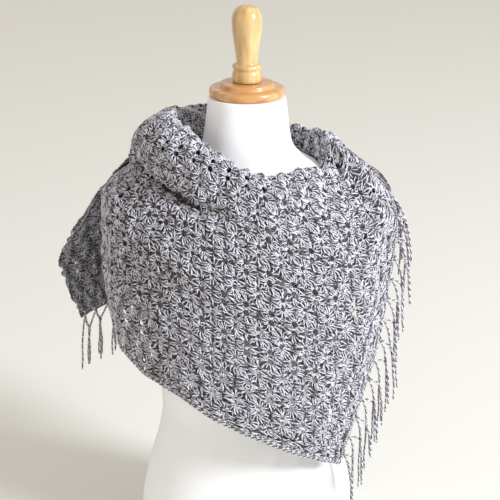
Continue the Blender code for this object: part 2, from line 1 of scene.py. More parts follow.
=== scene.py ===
"""A crocheted lace wrap with fringed ends, worn on a limbless dress form with a turned wooden neck cap.

Metres, +Z up. The form faces -Y and stands on z = 0. Angles are degrees round its axis: 0 is the front,
90 the form's own left side (+X), and they fall as the cloth goes on round: -90 is its right side,
-180 the back, and -270 the left side again, under the fringed front end."""

import math

import bpy
import numpy as np
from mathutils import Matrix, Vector


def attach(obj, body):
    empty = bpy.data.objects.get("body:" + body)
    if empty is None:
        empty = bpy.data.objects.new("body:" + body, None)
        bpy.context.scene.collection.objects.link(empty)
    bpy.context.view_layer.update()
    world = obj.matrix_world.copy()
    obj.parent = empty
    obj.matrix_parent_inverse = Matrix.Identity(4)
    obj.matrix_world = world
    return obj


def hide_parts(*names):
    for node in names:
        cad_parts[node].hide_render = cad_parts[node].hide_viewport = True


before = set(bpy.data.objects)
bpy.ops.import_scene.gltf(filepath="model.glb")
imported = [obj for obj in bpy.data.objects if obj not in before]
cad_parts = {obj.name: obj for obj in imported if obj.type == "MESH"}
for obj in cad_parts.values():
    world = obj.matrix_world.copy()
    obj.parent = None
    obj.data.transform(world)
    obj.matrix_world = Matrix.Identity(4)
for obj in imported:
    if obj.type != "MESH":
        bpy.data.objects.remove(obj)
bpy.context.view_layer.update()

# The dress form
# A padded display torso with no limbs, covered in tight white jersey, closed flat at the neck and
# standing on its flat underside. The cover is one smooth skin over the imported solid.
NECK_TOP = 0.647
FORM = np.array((
    # up, half_width, half_depth, forward
    (0.000, 0.147, 0.103, 0.000),
    (0.004, 0.151, 0.107, 0.000),
    (0.045, 0.151, 0.108, 0.000),
    (0.110, 0.140, 0.101, 0.000),
    (0.160, 0.126, 0.092, 0.000),
    (0.200, 0.120, 0.088, 0.000),
    (0.240, 0.1225, 0.092, 0.002),
    (0.290, 0.131, 0.102, 0.006),
    (0.345, 0.142, 0.113, 0.010),
    (0.390, 0.148, 0.117, 0.010),
    (0.435, 0.153, 0.109, 0.006),
    (0.475, 0.160, 0.096, 0.000),
    (0.502, 0.160, 0.083, -0.002),
    (0.522, 0.148, 0.074, -0.003),
    (0.538, 0.125, 0.067, -0.003),
    (0.552, 0.098, 0.061, -0.002),
    (0.565, 0.074, 0.056, 0.000),
    (0.580, 0.062, 0.053, 0.002),
    (0.600, 0.0575, 0.0515, 0.003),
    (0.625, 0.0545, 0.050, 0.004),
    (0.643, 0.052, 0.050, 0.004),
    (NECK_TOP, 0.0505, 0.049, 0.004),
))
FORM_SQUARENESS = 2.25  # exponent of the sections, 2 being an ellipse
FORM_SIDES = 96
FORM_RINGS = np.linspace(0.008, 0.640, 84)  # heights of the rings between its rounded ends


def through(places, values, wanted):
    """Values at the wanted places of a smooth curve through known ones, which never overshoots them."""
    step = np.diff(places)[:, None]
    rise = np.diff(values, axis=0) / step
    same_way = rise[:-1] * rise[1:] > 0
    before = 2 * step[1:] + step[:-1]
    after = step[1:] + 2 * step[:-1]
    with np.errstate(divide="ignore", invalid="ignore"):
        mean = (before + after) / (before / rise[:-1] + after / rise[1:])
    lean = np.concatenate([rise[:1], np.where(same_way, mean, 0.0), rise[-1:]])
    wanted = np.clip(wanted, places[0], places[-1])
    i = np.clip(np.searchsorted(places, wanted, side="right") - 1, 0, len(places) - 2)
    gap = (places[i + 1] - places[i])[:, None]
    u = (wanted - places[i])[:, None] / gap
    low = (1 + 2 * u) * (1 - u) ** 2 * values[i] + u * (1 - u) ** 2 * gap * lean[i]
    return low + u * u * (3 - 2 * u) * values[i + 1] + u * u * (u - 1) * gap * lean[i + 1]


def new_object(name, data):
    made = bpy.data.objects.new(name, data)
    bpy.context.scene.collection.objects.link(made)
    return made


def mesh_piece(name, points, faces, material, uv=None):
    """An object from point and quad arrays, smooth shaded, that rides on the root body."""
    mesh = bpy.data.meshes.new(name)
    faces = np.asarray(faces, np.int32)
    mesh.vertices.add(len(points))
    mesh.vertices.foreach_set("co", np.asarray(points, np.float32).ravel())
    mesh.loops.add(faces.size)
    mesh.loops.foreach_set("vertex_index", faces.ravel())
    mesh.polygons.add(len(faces))
    mesh.polygons.foreach_set("loop_start", np.arange(0, faces.size, faces.shape[1], dtype=np.int32))
    if uv is not None:
        layer = mesh.uv_layers.new(name="yarn")
        layer.data.foreach_set("uv", np.asarray(uv, np.float32).ravel())
    mesh.update(calc_edges=True)
    mesh.validate()
    mesh.shade_smooth()
    mesh.materials.append(material)
    piece = new_object(name, mesh)
    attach(piece, "root")
    return piece


def new_material(name, colour, roughness):
    """A Principled material, its node tree and its shader."""
    material = bpy.data.materials.new(name)
    material.use_nodes = True
    tree = material.node_tree
    shader = tree.nodes["Principled BSDF"]
    shader.inputs["Base Color"].default_value = (*colour, 1.0)
    shader.inputs["Roughness"].default_value = roughness
    return material, tree, shader


def node(tree, kind, inputs):
    """A shader node of a kind, with a value or a link for each of the inputs named."""
    made = tree.nodes.new("ShaderNode" + kind)
    for name, given in inputs.items():
        if isinstance(given, bpy.types.NodeSocket):
            tree.links.new(given, made.inputs[name])
        else:
            made.inputs[name].default_value = given
    return made


def noise(tree, scale, detail=3.0, stretch=(1.0, 1.0, 1.0)):
    """The value of a noise over the piece, stretched by a scale on each axis."""
    place = node(tree, "TexCoord", {})
    mapping = node(tree, "Mapping", {"Vector": place.outputs["Object"], "Scale": stretch})
    inputs = {"Vector": mapping.outputs["Vector"], "Scale": scale, "Detail": detail}
    return node(tree, "TexNoise", inputs).outputs["Fac"]


def ramp(tree, value, stops):
    """The colour of a ramp over a value, from (place, colour) stops."""
    made = node(tree, "ValToRGB", {"Fac": value})
    elements = made.color_ramp.elements
    while len(elements) < len(stops):
        elements.new(0.5)
    for element, (place, colour) in zip(elements, stops):
        element.position = place
        element.color = (*colour, 1.0)
    return made.outputs["Color"]


def bump(tree, shader, height, strength, distance):
    made = node(tree, "Bump", {"Height": height, "Strength": strength, "Distance": distance})
    tree.links.new(made.outputs["Normal"], shader.inputs["Normal"])


def jersey_material():
    material, tree, shader = new_material("white jersey", (0.90, 0.90, 0.90), 0.78)
    shader.inputs["Sheen Weight"].default_value = 0.15
    tone = ramp(tree, noise(tree, 9.0), ((0.3, (0.88, 0.88, 0.88)), (0.7, (0.94, 0.94, 0.945))))
    tree.links.new(tone, shader.inputs["Base Color"])
    bump(tree, shader, noise(tree, 900.0, 2.0, (1.0, 1.0, 0.55)), 0.25, 0.0004)
    return material


def form_cover():
    ups = np.concatenate([FORM[:2, 0], FORM_RINGS, FORM[-2:, 0]])
    rows = through(FORM[:, 0], FORM[:, 1:], ups)
    turns = np.linspace(0.0, 2 * math.pi, FORM_SIDES, endpoint=False)
    power = 2.0 / FORM_SQUARENESS
    side = np.sign(np.sin(turns)) * np.abs(np.sin(turns)) ** power
    front = np.sign(np.cos(turns)) * np.abs(np.cos(turns)) ** power
    x = rows[:, :1] * side
    y = -rows[:, 1:2] * front - rows[:, 2:]
    points = np.stack([x, y, np.repeat(ups[:, None], FORM_SIDES, 1)], -1).reshape(-1, 3)
    ring = np.arange(FORM_SIDES)
    after = (ring + 1) % FORM_SIDES
    base = np.arange(len(ups) - 1)[:, None] * FORM_SIDES
    walls = np.stack([base + ring, base + after, base + FORM_SIDES + after, base + FORM_SIDES + ring], -1)
    k = np.arange(FORM_SIDES // 2 - 1)
    flat = np.stack([k, k + 1, FORM_SIDES - 2 - k, FORM_SIDES - 1 - k], -1)
    faces = np.concatenate([walls.reshape(-1, 4), flat[:, ::-1], flat + (len(ups) - 1) * FORM_SIDES])
    cover = mesh_piece("form_cover", points, faces, jersey_material())
    cover.data.set_sharp_from_angle(angle=math.radians(60))
    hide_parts("dress_form")


form_cover()

# The neck cap
# A stepped disc and a handle, both turned in pale hardwood and varnished. The disc closes the neck,
# and the handle, which lifts the form, is screwed on through it.
GAP = 0.0003  # between two pieces that meet
CAP_FLOOR = NECK_TOP + GAP
DISC_TOP = 0.6655
DISC = (
    # out, up
    (0.0, DISC_TOP), (0.033, DISC_TOP), (0.0352, 0.665), (0.0362, 0.6636), (0.0365, 0.6612),
    (0.0372, 0.6598), (0.0385, 0.6592), (0.047, 0.659), (0.0494, 0.6582), (0.0506, 0.6562),
    (0.051, 0.6535), (0.0506, 0.6505), (0.0494, 0.6482), (0.048, CAP_FLOOR), (0.0, CAP_FLOOR),
)
HANDLE_FLOOR = DISC_TOP + GAP
HANDLE = (
    # out, up
    (0.0, 0.7685), (0.006, 0.768), (0.0115, 0.7662), (0.016, 0.7626), (0.019, 0.7572),
    (0.0205, 0.750), (0.0204, 0.742), (0.019, 0.729), (0.017, 0.715), (0.0152, 0.702),
    (0.0143, 0.694), (0.0142, 0.6905), (0.017, 0.690), (0.019, 0.689), (0.0198, 0.6872),
    (0.0196, 0.685), (0.0186, 0.6832), (0.018, 0.6815), (0.0186, 0.680), (0.0196, 0.678),
    (0.020, 0.674), (0.020, 0.670), (0.0196, 0.6675), (0.0186, HANDLE_FLOOR), (0.0, HANDLE_FLOOR),
)
TURNED_SIDES = 64


def wood_material(name, stretch, tint):
    """Varnished wood, its grain drawn out by a stretch, in a tint of its own."""
    material, tree, shader = new_material(name, (0.72, 0.42, 0.17), 0.32)
    shader.inputs["Coat Weight"].default_value = 0.7
    shader.inputs["Coat Roughness"].default_value = 0.06
    streaks = noise(tree, 1.0, 6.0, stretch)
    stops = ((0.30, (0.50, 0.235, 0.075)), (0.50, (0.66, 0.345, 0.125)), (0.72, (0.80, 0.48, 0.20)))
    tinted = [(place, [part * share for part, share in zip(colour, tint)]) for place, colour in stops]
    tree.links.new(ramp(tree, streaks, tinted), shader.inputs["Base Color"])
    bump(tree, shader, streaks, 0.08, 0.0004)
    return material


def turned(name, profile, material, solid):
    """A turned piece: the corners of its half profile are eased and it is spun by a Screw modifier."""
    line = np.array(profile)
    for _ in range(2):
        early = line[:-1] * 0.75 + line[1:] * 0.25
        late = line[:-1] * 0.25 + line[1:] * 0.75
        line = np.concatenate([line[:1], np.stack([early, late], 1).reshape(-1, 2), line[-1:]])
    mesh = bpy.data.meshes.new(name)
    mesh.from_pydata([(out, 0.0, up) for out, up in line], [(k, k + 1) for k in range(len(line) - 1)], [])
    mesh.materials.append(material)
    piece = new_object(name, mesh)
    spin = piece.modifiers.new("Turned", "SCREW")
    spin.axis = "Z"
    spin.steps = TURNED_SIDES
    spin.render_steps = TURNED_SIDES
    spin.use_merge_vertices = True
    spin.merge_threshold = 0.00002
    spin.use_smooth_shade = True
    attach(piece, "root")
    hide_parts(solid)


wood_across = wood_material("varnished wood across", (14.0, 120.0, 120.0), (0.93, 0.90, 0.88))
wood_along = wood_material("varnished wood along", (130.0, 130.0, 9.0), (0.94, 1.18, 1.32))
turned("cap_disc", DISC, wood_across, "neck_cap")
turned("cap_grip", HANDLE, wood_along, "cap_handle")

# The front panel and the roll over it
# One stretch of the stole, from its fringed front end across the chest to the right side. It is shell
# stitch in a marled yarn: rosettes of twisted posts round pairs of eyelets, over a close ground whose
# right side is painted dark as the shade between the posts.
ROLL = (
    # angle, rim_clear, rim_up, crest_out, crest_up, brow_out, brow_up, tuck_out, tuck_up
    (76, 0.0020, 0.546, 0.115, 0.559, 0.123, 0.554, 0.1295, 0.544),
    (62, 0.0014, 0.545, 0.104, 0.562, 0.115, 0.557, 0.125, 0.543),
    (45, 0.0008, 0.540, 0.096, 0.566, 0.111, 0.557, 0.124, 0.537),
    (25, 0.0008, 0.534, 0.096, 0.562, 0.114, 0.552, 0.129, 0.528),
    (5, 0.0008, 0.533, 0.097, 0.569, 0.118, 0.558, 0.134, 0.526),
    (-15, 0.0008, 0.538, 0.098, 0.585, 0.123, 0.575, 0.137, 0.531),
    (-35, 0.0014, 0.546, 0.098, 0.604, 0.132, 0.592, 0.139, 0.537),
    (-55, 0.0020, 0.554, 0.099, 0.618, 0.141, 0.601, 0.143, 0.545),
    (-75, 0.0030, 0.560, 0.101, 0.625, 0.148, 0.600, 0.150, 0.555),
    (-95, 0.0030, 0.562, 0.101, 0.627, 0.148, 0.599, 0.160, 0.562),
    (-120, 0.0030, 0.560, 0.096, 0.617, 0.136, 0.600, 0.152, 0.560),
    (-150, 0.0030, 0.556, 0.092, 0.615, 0.122, 0.598, 0.140, 0.550),
    (-180, 0.0030, 0.552, 0.091, 0.605, 0.115, 0.590, 0.133, 0.543),
    (-206, 0.0020, 0.550, 0.090, 0.591, 0.111, 0.579, 0.130, 0.542),
    (-216, 0.0016, 0.550, 0.091, 0.589, 0.1115, 0.578, 0.1307, 0.5433),
    (-240, 0.0012, 0.550, 0.095, 0.588, 0.113, 0.581, 0.135, 0.552),
    (-262, 0.0012, 0.554, 0.104, 0.595, 0.118, 0.589, 0.140, 0.564),
    (-276, 0.0014, 0.552, 0.111, 0.590, 0.123, 0.582, 0.140, 0.560),
)
ROLL += ((ROLL[0][0] - 360, *ROLL[0][1:]),)
PANEL = (
    # angle, top_out, top_up, cape_out, cape_up, fall_out, fall_up, hem_out, hem_up
    (90, 0.204, 0.495, 0.206, 0.468, 0.202, 0.380, 0.190, 0.210),
    (86, 0.184, 0.540, 0.206, 0.474, 0.202, 0.372, 0.185, 0.195),
    (82, 0.151, 0.570, 0.205, 0.479, 0.201, 0.365, 0.180, 0.178),
    (79, 0.129, 0.588, 0.203, 0.485, 0.199, 0.360, 0.176, 0.165),
    (76, 0.134, 0.564, 0.199, 0.488, 0.1975, 0.355, 0.172, 0.157),
    (73, 0.134, 0.547, 0.195, 0.490, 0.195, 0.350, 0.168, 0.150),
    (62, 0.125, 0.543, 0.179, 0.488, 0.187, 0.345, 0.156, 0.140),
    (45, 0.124, 0.537, 0.159, 0.478, 0.173, 0.345, 0.161, 0.160),
    (25, 0.129, 0.528, 0.153, 0.465, 0.164, 0.350, 0.162, 0.187),
    (5, 0.134, 0.526, 0.151, 0.460, 0.160, 0.360, 0.162, 0.217),
    (-15, 0.137, 0.531, 0.153, 0.464, 0.161, 0.370, 0.162, 0.243),
    (-35, 0.139, 0.537, 0.161, 0.476, 0.169, 0.380, 0.166, 0.272),
    (-55, 0.143, 0.545, 0.177, 0.489, 0.183, 0.390, 0.175, 0.290),
    (-75, 0.150, 0.555, 0.196, 0.501, 0.197, 0.400, 0.182, 0.307),
    (-95, 0.154, 0.556, 0.200, 0.500, 0.200, 0.410, 0.187, 0.323),
    (-120, 0.144, 0.554, 0.177, 0.490, 0.184, 0.405, 0.180, 0.318),
    (-150, 0.132, 0.544, 0.148, 0.485, 0.156, 0.400, 0.156, 0.312),
    (-180, 0.126, 0.538, 0.136, 0.485, 0.145, 0.405, 0.148, 0.315),
    (-207, 0.124, 0.537, 0.138, 0.490, 0.149, 0.415, 0.153, 0.330),
    (-216, 0.1307, 0.5433, 0.142, 0.493, 0.152, 0.419, 0.1545, 0.335),
    (-240, 0.135, 0.552, 0.160, 0.502, 0.169, 0.435, 0.168, 0.360),
    (-262, 0.140, 0.564, 0.180, 0.513, 0.185, 0.460, 0.183, 0.405),
    (-276, 0.140, 0.560, 0.178, 0.511, 0.185, 0.465, 0.184, 0.425),
)
ROLL_STATIONS = np.array((0.0, 0.22, 0.55, 1.0))
PANEL_STATIONS = np.array((0.0, 0.26, 0.58, 1.0))
FRONT_END = np.array(((0.0, 88.0), (0.30, 84.0), (0.60, 74.0), (0.85, 63.0), (1.0, 56.0)))  # down, angle
SIDE_SEAM = -97.0
ROLL_START = 76.0
FOLD_SCALE = np.array((0.0029, 0.26))  # metres of cloth for a degree round, and for a step of down
TUCK = (
    # angle, down, to_angle, to_down, half_width, depth
    (-76, 0.982, -14, 1.064, 0.0045, 0.007),
    (-90, 0.880, -64, 0.995, 0.0045, 0.0068),
)
# Posts are left out of the sharp line under the roll, so that the close ground's painted shade shows there
# as a dark crease.
TUCK_DEPTH = 0.0057  # how deep in the sharp line under the roll no posts are seen
SHARED_FOLDS = TUCK + (
    (-72, 0.98, -14, 1.03, 0.013, 0.011),
    (-14, 1.03, 8, 1.12, 0.016, 0.005),
    (-50, 0.10, -80, 0.75, 0.014, 0.006),
    (-92, 0.20, -108, 0.80, 0.014, 0.006),
    (-20, 0.15, -42, 0.70, 0.014, 0.0045),
    (20, 0.20, -4, 0.75, 0.013, 0.0035),
    (-268, 0.30, -225, 0.85, 0.013, 0.005),
    (-150, 0.20, -172, 0.80, 0.013, 0.0055),
)
PANEL_FOLDS = (
    (66, 1.12, 52, 1.48, 0.018, 0.010),
    (-60, 1.16, 30, 1.30, 0.022, 0.0035),
    (-70, 1.40, 42, 1.62, 0.024, 0.004),
    (-55, 1.29, 30, 1.45, 0.024, -0.0035),
    (-30, 1.70, 55, 1.80, 0.022, 0.0035),
    (76, 1.25, 66, 1.75, 0.016, 0.005),
    (-82, 1.20, -78, 1.85, 0.016, 0.005),
    (-262, 1.15, -205, 1.62, 0.020, 0.006),
    (-250, 1.45, -190, 1.85, 0.020, 0.005),
)
HALF_CLOTH = 0.00125  # of the wall's thickness
SHELL_WIDTH = 0.0305
SHELL_ROW = 0.0275
FIRST_ROW = 0.015  # from the long edge up to the middle of the first rosettes
GROUND_CELL = 0.003
GROUND_DEPTH = 0.0004
CUFF_ANGLE = 3.2  # degrees that the front fringe's strip takes
DOWN_STEPS = 220
CLIMB = 0.0015  # step of the table that gives the level for a distance up from the edge
CLIMB_STEPS = 440


def form_out(angles, ups):
    """How far the form reaches from the axis, at angles and heights."""
    half_width, half_depth, forward = (np.interp(ups, FORM[:, 0], FORM[:, k]) for k in (1, 2, 3))
    turns = np.radians(angles)
    low = np.zeros_like(turns)
    high = np.full_like(turns, 0.3)
    for _ in range(30):
        out = (low + high) / 2
        across = np.abs(out * np.sin(turns) / half_width) ** FORM_SQUARENESS
        deep = np.abs((out * np.cos(turns) - forward) / half_depth) ** FORM_SQUARENESS
        inside = across + deep < 1.0
        low = np.where(inside, out, low)
        high = np.where(inside, high, out)
    return high


def table_at(table, angles):
    """A table's columns after the first at the angles, as (angle, station, out and up)."""
    rows = np.array(sorted(table))
    return through(rows[:, 0], rows[:, 1:], angles).reshape(len(angles), 4, 2)


def along_stations(stations, knots, levels):
    """Out and up at each angle and level, through the stations' values at that angle."""
    flat = knots.transpose(1, 0, 2).reshape(4, -1)
    return through(stations, flat, levels).reshape(len(levels), -1, 2).transpose(1, 0, 2)


def fold_depth(folds, angle, down):
    depth = np.zeros(np.broadcast(angle, down).shape)
    for start_angle, start_down, end_angle, end_down, half_width, most in folds:
        start = np.array((start_angle, start_down)) * FOLD_SCALE
        run = np.array((end_angle, end_down)) * FOLD_SCALE - start
        x = angle * FOLD_SCALE[0] - start[0]
        y = down * FOLD_SCALE[1] - start[1]
        along = np.clip((x * run[0] + y * run[1]) / (run @ run), 0.0, 1.0)
        away = np.hypot(x - along * run[0], y - along * run[1])
        depth += most * np.exp(-((away / half_width) ** 2)) * (0.55 + 0.45 * np.sin(math.pi * along))
    return depth


def unit(vectors):
    return vectors / np.maximum(np.linalg.norm(vectors, axis=-1, keepdims=True), 1e-9)


def runs_of(points):
    """How far along a line of points each of them is."""
    return np.concatenate([[0.0], np.cumsum(np.linalg.norm(np.diff(points, axis=0), axis=-1))])


class Sheet:
    """A stretch of the cloth: its middle layer by angle and level, and the flat lace laid over it.

    A level is 0 at the roll's inner rim, 1 under the roll and 2 at the hem. Flat places are metres along
    the stole, measured at the reference level from the origin's angle, and metres up from its hem."""

    def __init__(self, table, folds, low, high, reference, origin):
        self.angles = np.arange(low, high + 0.5, 1.0)
        levels = np.linspace(0.0, 2.0, DOWN_STEPS + 1)
        roll = table_at(ROLL, self.angles)
        roll[:, 0, 0] += form_out(self.angles, roll[:, 0, 1])
        on_roll = levels <= 1.0
        upper = along_stations(ROLL_STATIONS, roll, levels[on_roll])
        lower = along_stations(PANEL_STATIONS, table_at(table, self.angles), levels[~on_roll] - 1.0)
        angle = self.angles[:, None]
        level = levels[None, :]
        both = np.concatenate([upper, lower], axis=1)
        out = both[..., 0] - fold_depth(SHARED_FOLDS, angle, level)
        out = out - np.where(on_roll, 0.0, fold_depth(folds, angle, level))
        turn = np.radians(angle)
        outer = np.stack([out * np.sin(turn), -out * np.cos(turn), both[..., 1]], -1)
        around = np.gradient(outer, axis=0)
        along = np.gradient(outer, axis=1)
        self.normals = unit(np.cross(along, around))
        self.points = outer - HALF_CLOTH * self.normals
        steps = np.linalg.norm(np.diff(self.points, axis=1), axis=-1)
        self.climb = np.zeros(self.points.shape[:2])
        self.climb[:, :-1] = np.cumsum(steps[:, ::-1], axis=1)[:, ::-1]
        heights = np.arange(CLIMB_STEPS) * CLIMB
        self.level_of = np.array([np.interp(heights, line[::-1], levels[::-1]) for line in self.climb])
        near = int(round(reference * DOWN_STEPS / 2.0))
        self.runs = runs_of(self.points[:, near])
        self.runs -= np.interp(origin, self.angles, self.runs)

    def look_up(self, grid, row, column):
        """Values of a grid between its points, at fractional rows and columns."""
        row = np.clip(row, 0, grid.shape[0] - 1.001)
        column = np.clip(column, 0, grid.shape[1] - 1.001)
        i = row.astype(int)
        j = column.astype(int)
        u = row - i
        v = column - j
        if grid.ndim == 3:
            u = u[..., None]
            v = v[..., None]
        first = grid[i, j] * (1 - v) + grid[i, j + 1] * v
        second = grid[i + 1, j] * (1 - v) + grid[i + 1, j + 1] * v
        return first * (1 - u) + second * u

    def angle_and_level(self, along, up):
        angle = np.interp(along, self.runs, self.angles)
        return angle, self.look_up(self.level_of, angle - self.angles[0], up / CLIMB)

    def flat_place(self, angle, level):
        up = self.look_up(self.climb, angle - self.angles[0], level * DOWN_STEPS / 2.0)
        return np.interp(angle, self.angles, self.runs), up

    def on_cloth(self, angle, level, lift=0.0):
        """Points of the cloth, lifted off its middle layer, and the way out from it."""
        row = angle - self.angles[0]
        column = level * DOWN_STEPS / 2.0
        way = unit(self.look_up(self.normals, row, column))
        return self.look_up(self.points, row, column) + np.asarray(lift)[..., None] * way, way


PLY_SIDE = 2.0  # where the UV of the charcoal ply begins, across
CHARCOAL_DARKER = 0.26  # how much further down the yarn's ramp that ply lies
UV_FOR_A_METRE = 100.0
SIDES = 3  # of a ply's section


def yarn_material():
    """Two plies twisted together, one pale and one charcoal, both flecked, as the yarn's UV tells them."""
    material, tree, shader = new_material("grey marled yarn", (0.40, 0.39, 0.41), 0.72)
    shader.inputs["Sheen Weight"].default_value = 0.25
    place = node(tree, "UVMap", {})
    place.uv_map = "yarn"
    split = node(tree, "SeparateXYZ", {"Vector": place.outputs["UV"]})
    charcoal = node(tree, "Math", {0: split.outputs["X"], 1: PLY_SIDE - 0.5})
    charcoal.operation = "GREATER_THAN"
    fleck = noise(tree, 420.0, 2.0)
    mixed = node(tree, "Math", {0: charcoal.outputs["Value"], 1: -CHARCOAL_DARKER, 2: fleck})
    mixed.operation = "MULTIPLY_ADD"
    tone = ramp(
        tree, mixed.outputs["Value"],
        (
            (0.08, (0.018, 0.015, 0.014)), (0.28, (0.115, 0.098, 0.096)),
            (0.42, (0.38, 0.37, 0.41)), (0.53, (0.74, 0.735, 0.83)),
        ),
    )
    tree.links.new(tone, shader.inputs["Base Color"])
    bump(tree, shader, fleck, 0.35, 0.0005)
    return material


def ground_material():
    """The close stitches under the posts, as pale as the yarn on the wrong side. On the right side they are
    painted shade, darker than the yarn's charcoal ply, so that the gaps between the posts look shaded.
    """
    material, tree, shader = new_material("close ground with painted shade", (0.10, 0.095, 0.10), 0.9)
    fibres = noise(tree, 260.0, 4.0)
    # Painted shade: the right side's ramp runs near black, darker than the yarn itself, for the shade
    # between the posts.
    right_side_painted_shade = ramp(
        tree, fibres,
        ((0.36, (0.006, 0.005, 0.005)), (0.50, (0.048, 0.040, 0.039)), (0.64, (0.16, 0.15, 0.155))),
    )
    wrong_side = ramp(
        tree, fibres,
        ((0.40, (0.03, 0.028, 0.028)), (0.50, (0.16, 0.15, 0.155)), (0.60, (0.44, 0.43, 0.47))),
    )
    facing = node(tree, "NewGeometry", {}).outputs["Backfacing"]
    pick = node(tree, "MixRGB", {"Fac": facing, "Color1": right_side_painted_shade, "Color2": wrong_side})
    tree.links.new(pick.outputs["Color"], shader.inputs["Base Color"])
    bump(tree, shader, fibres, 0.5, 0.0006)
    return material


YARN = yarn_material()
GROUND = ground_material()


def across_lines(lines, ways):
    """The two directions across each line, (line, step, xyz): beside it, and above it on the way out."""
    ahead = unit(np.gradient(lines, axis=1))
    beside = unit(np.cross(ahead, ways))
    return beside, np.cross(beside, ahead)


def yarn_strands(name, points, ways, radius, ply):
    """Plies of yarn as one mesh. Points and ways are (strand, step, xyz), radius one or (strand, step)."""
    strands, steps = points.shape[:2]
    radius = np.broadcast_to(radius, (strands, steps))
    beside, above = across_lines(points, ways)
    corners = (np.arange(SIDES) + 0.5) * 2 * math.pi / SIDES
    offset = np.cos(corners)[:, None] * beside[:, :, None] + np.sin(corners)[:, None] * above[:, :, None]
    verts = points[:, :, None] + radius[:, :, None, None] * offset
    index = np.arange(strands * steps * SIDES).reshape(strands, steps, SIDES)
    after = np.roll(index, -1, axis=2)
    faces = np.stack([index[:, :-1], after[:, :-1], after[:, 1:], index[:, 1:]], -1).reshape(-1, 4)
    run = np.linalg.norm(np.diff(points, axis=1), axis=-1)
    along = np.concatenate([np.zeros((strands, 1)), np.cumsum(run, axis=1)], 1) * UV_FOR_A_METRE
    left = np.arange(SIDES) / SIDES + PLY_SIDE * ply[:, None, None]
    uv = np.empty((strands, steps - 1, SIDES, 4, 2))
    uv[..., 0] = left[..., None] + np.array((0, 1, 1, 0)) / SIDES
    uv[..., :2, 1] = along[:, :-1, None, None]
    uv[..., 2:, 1] = along[:, 1:, None, None]
    piece = mesh_piece(name, verts.reshape(-1, 3), faces, YARN, uv.reshape(-1, 2))
    return piece


EYE_UP = 0.0066  # an eyelet above and one below the middle of each rosette
FAN = 8  # posts of the fan above or below an eyelet
FAN_STEP = 22.5  # degrees from one post of a fan to the next
FAN_START = 0.0041  # from the middle of an eyelet to its rim
FAN_ENDS = (0.0134, 0.0114, 0.0116, 0.0138)  # and to a post's end, from the middle posts out
SHORT = (
    # turn, start, end: posts beside and between the eyelets
    (98.0, FAN_START, 0.0154), (114.5, FAN_START, 0.0154), (132.0, FAN_START, 0.0104),
    (152.0, FAN_START, 0.0075),
)
MIDDLE_POST = (0.0095, 0.0148)  # start and end of the one that parts a fan in two
BRIDGES = (
    # from_up, turn, start, end: between the two eyelets
    (0.0013, 76.0, -0.0038, 0.0038), (-0.0012, 101.0, -0.0038, 0.0038),
)


def rosette_posts():
    """The fans and short posts round a rosette's two eyelets, as from_up, turn, start and end."""
    fans, short = [], list(BRIDGES)
    for eye, way in ((EYE_UP, 0.0), (-EYE_UP, 180.0)):
        for post in range(FAN):
            aside = post - (FAN - 1) / 2
            fans.append((eye, way + aside * FAN_STEP, FAN_START, FAN_ENDS[int(abs(aside))]))
        short.append((eye, way, *MIDDLE_POST))
        for turn, start, end in SHORT:
            short += [(eye, way + turn, start, end), (eye, way - turn, start, end)]
    return np.array(fans), np.array(short)


FANS, BETWEEN = rosette_posts()
POST_STEPS = 5
SHORT_STEPS = 3
POST_TWIST = 46.0  # turns of the plies for a metre of a post
POST_APART = (0.0007, 0.0003)  # half the space between its plies at its start, and its growth
POST_HIGH = 0.00055  # how far its plies wind up and down
POST_BOW = 0.0006
PLY_PHASE = 0.35  # how far the pale ply is turned up from beside the charcoal one at its start
YARN_RADIUS = 0.00084
PALE_THICKER = 0.14  # than the charcoal ply
POST_TAPER = 0.6  # at both ends
MOST_TRIANGLES = 190000
PANEL_RELIEF = 0.0012  # how deep a rosette's middle lies, and how high the lace between two
ROLL_RELIEF = 0.0026
CENTRE_UNEVEN = (0.0012, 0.0011, 0.13, 0.0)  # along, up and in its tilt, with one draw to spare
TURN_UNEVEN = 0.14
END_UNEVEN = 0.0013
BEND = 0.0019
SMALL_EYE_UP = 0.12  # how much closer the eyelets of every other row are to the middle
SMALL_START = 0.0014  # how much nearer to them the posts begin there, and on the inner face
INNER_START = 0.0026
EDGE_SLACK = 1.2  # degrees past a stretch's ends to which rosettes are laid
TOP_SLACK = 0.010


def rosette_centres(sheet, inside, seed):
    """Where the rosettes lie in the flat lace, half a shell over on every other row, a little uneven."""
    random = np.random.default_rng(seed)
    centres = []
    first = int(sheet.runs[0] / SHELL_WIDTH) - 1
    last = int(sheet.runs[-1] / SHELL_WIDTH) + 1
    for row in range(int(CLIMB * CLIMB_STEPS / SHELL_ROW)):
        for column in range(first, last + 1):
            aside, above, tilt, _ = random.uniform(-1, 1, 4) * CENTRE_UNEVEN
            along = (column + 0.5 * (row % 2)) * SHELL_WIDTH + aside
            centres.append((along, FIRST_ROW + row * SHELL_ROW + above, tilt, row))
    centres = np.array(centres)
    angle, level = sheet.angle_and_level(centres[:, 0], centres[:, 1])
    total = np.interp(angle, sheet.angles, sheet.climb[:, 0])
    return centres[inside(angle, level, EDGE_SLACK) & (centres[:, 1] < total + TOP_SLACK)]


def unevenness(along, up, level):
    """How far the lace stands off the even surface: swells of two sizes, and each rosette's hollow."""
    rosette = np.cos(2 * math.pi * along / SHELL_WIDTH) * np.cos(math.pi * (up - FIRST_ROW) / SHELL_ROW)
    on_roll = np.clip((1.05 - level) / 0.1, 0.0, 1.0)
    return (
        0.0011 * np.sin(along * 97.0 + 31.0 * up + 0.7) * np.sin(up * 83.0 - 17.0 * along + 1.1)
        + 0.0008 * np.sin(along * 171.0 - 61.0 * up + 2.3) * np.sin(up * 149.0 + 0.4)
        - (PANEL_RELIEF + (ROLL_RELIEF - PANEL_RELIEF) * on_roll) * rosette
    )


